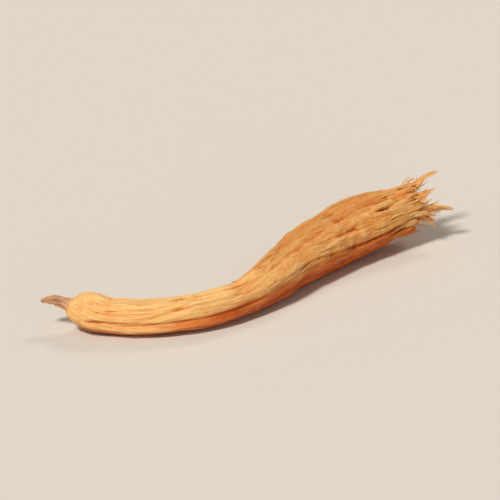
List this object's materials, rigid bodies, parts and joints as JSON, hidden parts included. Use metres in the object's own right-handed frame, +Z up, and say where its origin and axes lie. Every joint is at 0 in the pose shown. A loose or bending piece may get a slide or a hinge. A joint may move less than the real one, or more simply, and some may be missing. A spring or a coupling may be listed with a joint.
{
  "type": "dried cordyceps",
  "caption": "Single piece of dried cordyceps: a bent, wrinkled golden-tan club with a withered nib at its thin end and a torn, fibrous break at its thick end, lying on its side.",
  "frame": {"origin": "middle of the bounding box's bottom, on the plane the piece lies on", "axes": "+Z up, +X along the length from the nib end to the torn end, -Y the side seen in the picture"},
  "size_m": [0.0438, 0.0304, 0.0069],
  "materials": {
    "dried_fungus": "dry, fibrous, matte with a faint waxy sheen on the skin"
  },
  "bodies": {
    "root": {"cordyceps_club": "dried_fungus"}
  },
  "joints": []
}
